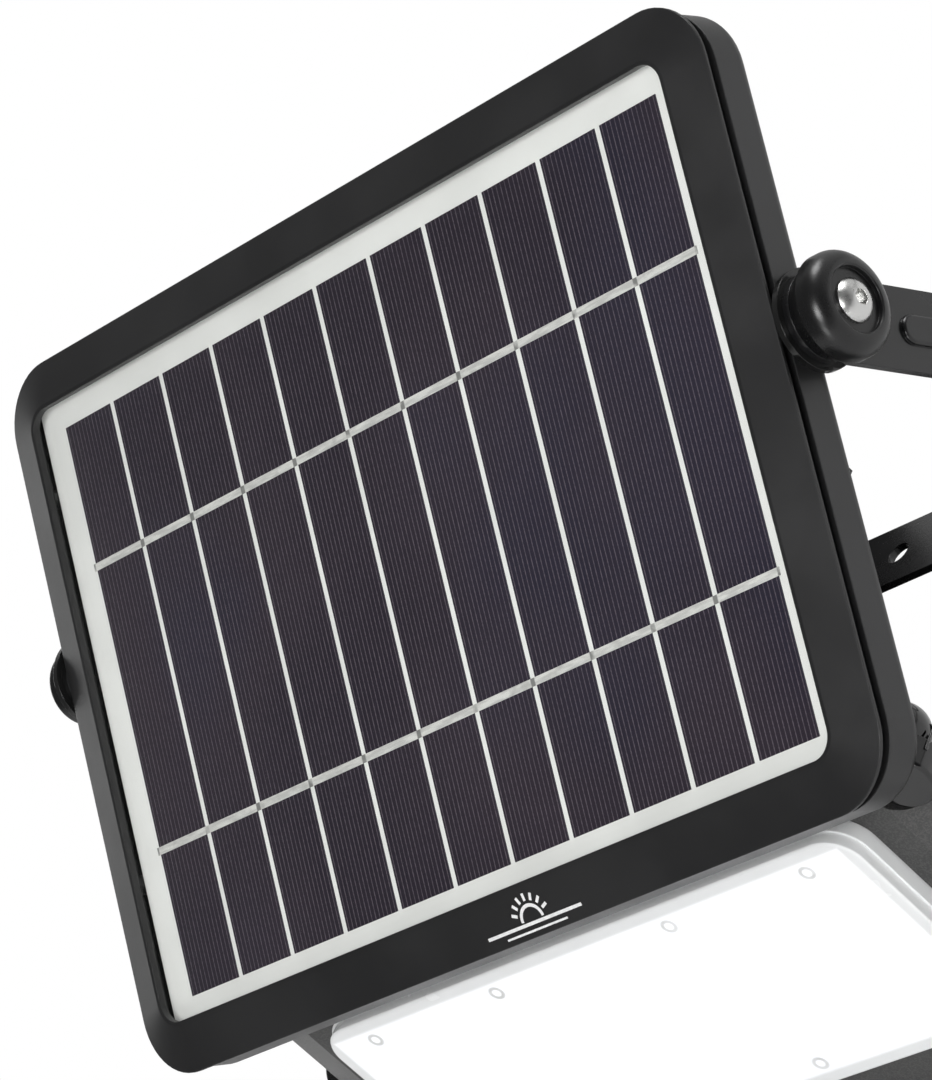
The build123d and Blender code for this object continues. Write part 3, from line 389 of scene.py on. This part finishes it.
# dark and light are the two cloud colours; rough is the range of roughness
MATERIALS = {
    "bezel": surface(
        "bezel_plastic", dark=(0.0115, 0.0115, 0.012), light=(0.0165, 0.0165, 0.017),
        rough=(0.36, 0.44), grain=2600, strength=0.22, dist=0.00006, bevel=0.0005,
        wear=0.10, wear_color=(0.06, 0.06, 0.06)),
    "cover": surface(
        "cover_plastic", dark=(0.014, 0.014, 0.0145), light=(0.020, 0.020, 0.021),
        rough=(0.38, 0.46), grain=2400, dist=0.00007, bevel=0.0005,
        wear=0.10, wear_color=(0.07, 0.07, 0.07)),
    "steel": surface(
        "black_powder_coat", dark=(0.0050, 0.0050, 0.0055), light=(0.0085, 0.0085, 0.009),
        rough=(0.20, 0.30), grain=1500, strength=0.22, bevel=0.0003,
        wear=0.25, wear_color=(0.05, 0.05, 0.05)),
    "knob": surface(
        "knob_plastic", dark=(0.0045, 0.0045, 0.0048), light=(0.0075, 0.0075, 0.0078),
        rough=(0.26, 0.33), spec=0.45, grain=2600, strength=0.12, dist=0.00005, bevel=0.0003,
        wear=0.12, wear_color=(0.05, 0.05, 0.05)),
    "stainless": surface(
        "stainless", dark=(0.48, 0.48, 0.47), light=(0.62, 0.62, 0.61),
        rough=(0.20, 0.32), metal=1.0, grain=1600, dist=0.00004, bevel=0.0002,
        wear=0.35, wear_color=(0.30, 0.30, 0.29)),
    "zinc": surface(
        "zinc_plate", dark=(0.40, 0.41, 0.41), light=(0.58, 0.58, 0.56),
        rough=(0.28, 0.42), metal=1.0, grain=900, strength=0.3, dist=0.00006, bevel=0.0003,
        wear=0.4, wear_color=(0.35, 0.34, 0.30)),
    "brass": surface(
        "turned_brass", dark=(0.55, 0.38, 0.16), light=(0.70, 0.50, 0.23),
        rough=(0.22, 0.36), metal=1.0, grain=1500, strength=0.3, dist=0.00005),
    "nylon": surface(
        "black_nylon", dark=(0.010, 0.010, 0.011), light=(0.017, 0.017, 0.018),
        rough=(0.42, 0.55), grain=1700, strength=0.3, bevel=0.0003),
    "rubber": surface(
        "rubber", dark=(0.008, 0.008, 0.008), light=(0.013, 0.013, 0.013),
        rough=(0.6, 0.75), spec=0.35, grain=1200, strength=0.35, dist=0.0001),
    "jacket": surface(
        "cable_jacket", dark=(0.008, 0.008, 0.0085), light=(0.014, 0.014, 0.0145),
        rough=(0.42, 0.56), spec=0.4, grain=1400),
    "aluminium": surface(
        "rolled_aluminium", dark=(0.62, 0.63, 0.64), light=(0.74, 0.75, 0.76),
        rough=(0.3, 0.42), metal=1.0, grain=1200, strength=0.3, dist=0.00005,
        stretch=(0.05, 1, 1)),
    "pcb": surface(
        "green_board", dark=(0.012, 0.07, 0.03), light=(0.02, 0.11, 0.045),
        rough=(0.32, 0.42), grain=900, strength=0.3, dist=0.00006),
    "white_board": surface(
        "white_board", dark=(0.78, 0.78, 0.76), light=(0.86, 0.86, 0.84),
        rough=(0.35, 0.45), grain=900, strength=0.2, dist=0.00005),
    "parts": surface(
        "moulded_parts", dark=(0.02, 0.02, 0.022), light=(0.05, 0.05, 0.055),
        rough=(0.35, 0.5), grain=900, strength=0.3, dist=0.00006),
    "led": surface(
        "phosphor", dark=(0.85, 0.72, 0.25), light=(0.92, 0.82, 0.40),
        rough=(0.3, 0.45), strength=0.3, dist=0.00004),
    "reflector": surface(
        "reflector", dark=(0.84, 0.84, 0.84), light=(0.92, 0.92, 0.92),
        rough=(0.25, 0.38), grain=800, strength=0.15, dist=0.00005),
    "wrap": surface(
        "cell_wrap", dark=(0.02, 0.10, 0.26), light=(0.03, 0.15, 0.36),
        rough=(0.22, 0.34), grain=700, strength=0.2, dist=0.00005),
    "dome": surface(
        "milky_dome", dark=(0.70, 0.72, 0.74), light=(0.80, 0.82, 0.84),
        rough=(0.28, 0.40), grain=700, strength=0.3, dist=0.0001),
    "disc": surface(
        "glossy_disc", dark=(0.006, 0.006, 0.006), light=(0.011, 0.011, 0.011),
        rough=(0.12, 0.2), grain=900, strength=0.1, dist=0.00005, bevel=0.0003),
    "shell": surface(
        "gloss_black", dark=(0.0025, 0.0025, 0.003), light=(0.0045, 0.0045, 0.005),
        rough=(0.045, 0.09), grain=600, strength=0.03, dist=0.00005, bevel=0.0004, coat=0.4,
        wear=0.05, wear_color=(0.02, 0.02, 0.02)),
    "frame": frame_paint(),
    "cells": silicon_cells(),
    "ribbon": tinned_ribbon(),
    "sheet": backsheet(),
    "glass": solar_glass(),
    "lens": lens_diffuser(),
    "mark": white_print(),
}

# material: the CAD pieces that wear it
PIECES = {
    "bezel": "panel_bezel",
    "cover": "panel_rear_cover",
    "steel": "wall_bracket panel_yoke lamp_yoke",
    "knob": "panel_knob panel_pivot_cap lamp_knob lamp_pivot_cap",
    "stainless": "panel_screws panel_pivot_screws clip_screws frame_screws board_screws "
                 "pir_sensor lamp_pivot_screws button_spring",
    "zinc": "yoke_bolts yoke_nuts lamp_yoke_bolts lamp_yoke_nuts",
    "brass": "panel_pivot_inserts lamp_pivot_inserts",
    "nylon": "panel_gland cable_clips lamp_gland button_guide",
    "rubber": "panel_gasket lens_gasket shell_gasket mode_button",
    "jacket": "panel_cable link_cable lamp_cable",
    "aluminium": "heat_plate",
    "pcb": "junction_board control_board pir_board",
    "white_board": "led_board",
    "parts": "junction_parts battery_holder control_parts mode_switch",
    "led": "led_chips",
    "reflector": "reflector_tray",
    "wrap": "battery_cells",
    "dome": "pir_cover",
    "disc": "panel_toothed_discs lamp_toothed_discs",
    "shell": "lamp_rear_shell corner_stud",
    "frame": "lamp_front_frame",
    "cells": "solar_cells",
    "ribbon": "busbar_ribbons cell_leads",
    "sheet": "solar_backsheet",
    "glass": "panel_glass",
    "lens": "lens_cover",
}
LOOKS = {piece: look for look, pieces in PIECES.items() for piece in pieces.split()}
for name, piece in nodes.items():
    piece.data.materials.clear()
    piece.data.materials.append(MATERIALS[LOOKS[name]])


# ------------------------------------------------------------------ new pieces
def mesh_object(name, bm, material, smooth=True):
    mesh = bpy.data.meshes.new(name)
    bm.to_mesh(mesh)
    bm.free()
    if smooth:
        for polygon in mesh.polygons:
            polygon.use_smooth = True
    mesh.materials.append(material)
    return add_object(name, mesh)


def add_object(name, data):
    obj = bpy.data.objects.new(name, data)
    bpy.context.scene.collection.objects.link(obj)
    return obj


def bezier(p0, p1, p2, p3):
    points = []
    for i in range(CABLE_STEPS + 1):
        s = i / CABLE_STEPS
        points.append((1 - s) ** 3 * p0 + 3 * (1 - s) ** 2 * s * p1
                      + 3 * (1 - s) * s * s * p2 + s ** 3 * p3)
    return points


def tube(name, points, radius, material, sides=20):
    """Round tube with closed ends; its rings turn with the path without twisting."""
    bm = bmesh.new()
    rings = []
    angles = [2 * math.pi * k / sides for k in range(sides)]
    side = (points[1] - points[0]).normalized().orthogonal().normalized()
    for i, point in enumerate(points):
        before = points[max(i - 1, 0)]
        after = points[min(i + 1, len(points) - 1)]
        along = (after - before).normalized()
        side = (side - along * side.dot(along)).normalized()
        other = along.cross(side)
        rings.append([bm.verts.new(point + (side * math.cos(a) + other * math.sin(a)) * radius)
                      for a in angles])
    for a, b in zip(rings, rings[1:]):
        for k in range(sides):
            following = (k + 1) % sides
            bm.faces.new((a[k], a[following], b[following], b[k]))
    bm.faces.new(list(reversed(rings[0])))
    bm.faces.new(rings[-1])
    bmesh.ops.recalc_face_normals(bm, faces=bm.faces)
    return mesh_object(name, bm, MATERIALS[material])


def free_cable(name, start, start_pull, end, end_pull):
    """Cable hanging between two parts; the pulls shape its curve at either end."""
    points = bezier(start, start + start_pull, end + end_pull, end)
    cable = tube(name, points, CABLE_RADIUS, "jacket")
    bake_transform(cable)


def button_spring():
    """Return spring of the mode button."""
    coil = []
    for i in range(SPRING_TURNS * SPRING_STEPS + 1):
        a = 2 * math.pi * i / SPRING_STEPS
        coil.append(Vector((SPRING_X + SPRING_RADIUS * math.cos(a),
                            SPRING_Y + SPRING_RADIUS * math.sin(a),
                            SPRING_BOTTOM_Z + SPRING_PITCH * i / SPRING_STEPS)))
    spring = tube("mode_button_spring", coil, SPRING_WIRE, "stainless", sides=10)
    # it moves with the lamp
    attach(spring, "lamp")
    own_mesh(spring)
    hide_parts("button_spring")


def sun_sign():
    """Small printed sun over two lines, on the sloping lower edge of the bezel."""
    # millimetres in panel coordinates; the drawing is measured from the sign's middle
    middle_x, middle_y, middle_z = 16.0, -91.15, 3.75
    slope = Vector((0, 12.3, 3.5)).normalized()
    lift = 0.10                        # height of the print above the bezel
    sun_base = -2.04
    sun_radius, sun_width, sun_steps = 3.6, 0.9, 24
    ray_inner, ray_outer, ray_width, ray_gaps = 4.8, 6.72, 0.84, 8
    lines = ((16.8, -2.88, 0.84), (10.8, -4.68, 0.54))   # half length, height, width
    bm = bmesh.new()

    def vertex(x, up):
        y = middle_y + up * slope.y - lift * slope.z
        z = middle_z + up * slope.z + lift * slope.y
        return bm.verts.new(panel_point(middle_x + x, y, z))

    def strip(points, width):
        left, right = [], []
        for i, (x, up) in enumerate(points):
            before = points[max(i - 1, 0)]
            after = points[min(i + 1, len(points) - 1)]
            dx, dup = after[0] - before[0], after[1] - before[1]
            half = width / 2 / math.hypot(dx, dup)
            left.append(vertex(x - dup * half, up + dx * half))
            right.append(vertex(x + dup * half, up - dx * half))
        for i in range(len(points) - 1):
            bm.faces.new((left[i], left[i + 1], right[i + 1], right[i]))

    def around_sun(radius, angle):
        return radius * math.cos(angle), sun_base + radius * math.sin(angle)

    strip([around_sun(sun_radius, math.pi * k / sun_steps) for k in range(sun_steps + 1)],
          sun_width)
    for k in range(1, ray_gaps):
        angle = math.pi * k / ray_gaps
        strip([around_sun(ray_inner, angle), around_sun(ray_outer, angle)], ray_width)
    for half_length, height, width in lines:
        strip([(-half_length, height), (half_length, height)], width)
    sign = mesh_object("sun_sign", bm, MATERIALS["mark"], smooth=False)
    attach(sign, "panel")


free_cable("panel_to_clip_cable",
           start=panel_point(*PANEL_GLAND_MM), start_pull=BEHIND_PANEL * 0.040,
           end=Vector((CLIP_RIGHT_X, CLIP_Y, CLIP_Z)), end_pull=Vector((0.011, 0.0, 0.001)))
free_cable("clip_to_lamp_cable",
           start=Vector((CLIP_LEFT_X, CLIP_Y, CLIP_Z)), start_pull=Vector((-0.045, -0.002, 0.0)),
           end=Vector(LAMP_GLAND), end_pull=Vector((-0.004, 0.026, 0.030)))
button_spring()
sun_sign()


# ------------------------------------------------------------------ studio
def studio_world():
    """White to the camera; as a light, it brightens toward +Y."""
    world = bpy.data.worlds.new("studio")
    bpy.context.scene.world = world
    t = Nodes(world, "ShaderNodeOutputWorld")
    strength = t.ramp(t.xyz("Generated")[1], span=(0.15, 0.85), to=(0.15, 0.75))
    lighting, backdrop = [
        t.node("ShaderNodeBackground", {"Color": (1, 1, 1), "Strength": value}).outputs[0]
        for value in (strength, 1.0)]
    t.finish(t.mix_shaders(t.camera_ray(), lighting, backdrop))


def studio_floor():
    half, gap = 6.0, 0.004             # half width, and drop below the lowest piece
    z = start_bounds[0][2] - gap
    bm = bmesh.new()
    corners = ((-half, -half), (half, -half), (half, half), (-half, half))
    bm.faces.new([bm.verts.new((x, y, z)) for x, y in corners])
    mesh_object("floor", bm, pale_floor(), smooth=False)


def area_light(name, place, size, power, aim=(0.0, -0.10, 0.0)):
    light = bpy.data.lights.new(name, "AREA")
    light.shape = "RECTANGLE"
    light.size = size
    light.size_y = size
    light.energy = power
    lamp = add_object(name, light)
    lamp.location = place
    lamp.rotation_euler = (Vector(aim) - Vector(place)).to_track_quat("-Z", "Y").to_euler()
    lamp.visible_camera = False


def studio_camera():
    data = bpy.data.cameras.new("camera")
    data.sensor_width = 36.0
    data.sensor_fit = "AUTO"
    data.lens = 158.547
    data.clip_start = 0.05
    data.clip_end = 50
    camera = add_object("camera", data)
    turn = Matrix(((0.647734, 0.318466, 0.692112),
                   (0.328078, 0.703304, -0.630657),
                   (-0.687608, 0.635565, 0.351073)))
    place = Matrix.Translation((0.819755, -0.832574, 0.455726))
    camera.matrix_world = place @ turn.to_4x4()
    bpy.context.scene.camera = camera


studio_world()
studio_floor()
area_light("key", place=(1.0, -1.7, 1.3), size=0.9, power=34)
area_light("left_soft", place=(-1.8, 0.45, 0.05), size=0.8, power=5)
area_light("top_back", place=(0.6, 1.0, 1.4), size=0.8, power=18)
area_light("lens_fill", place=(0.5, -1.8, 0.1), size=0.6, power=6, aim=(0, -0.16, LENS_Z))
studio_camera()
bpy.context.scene.view_settings.view_transform = "Standard"
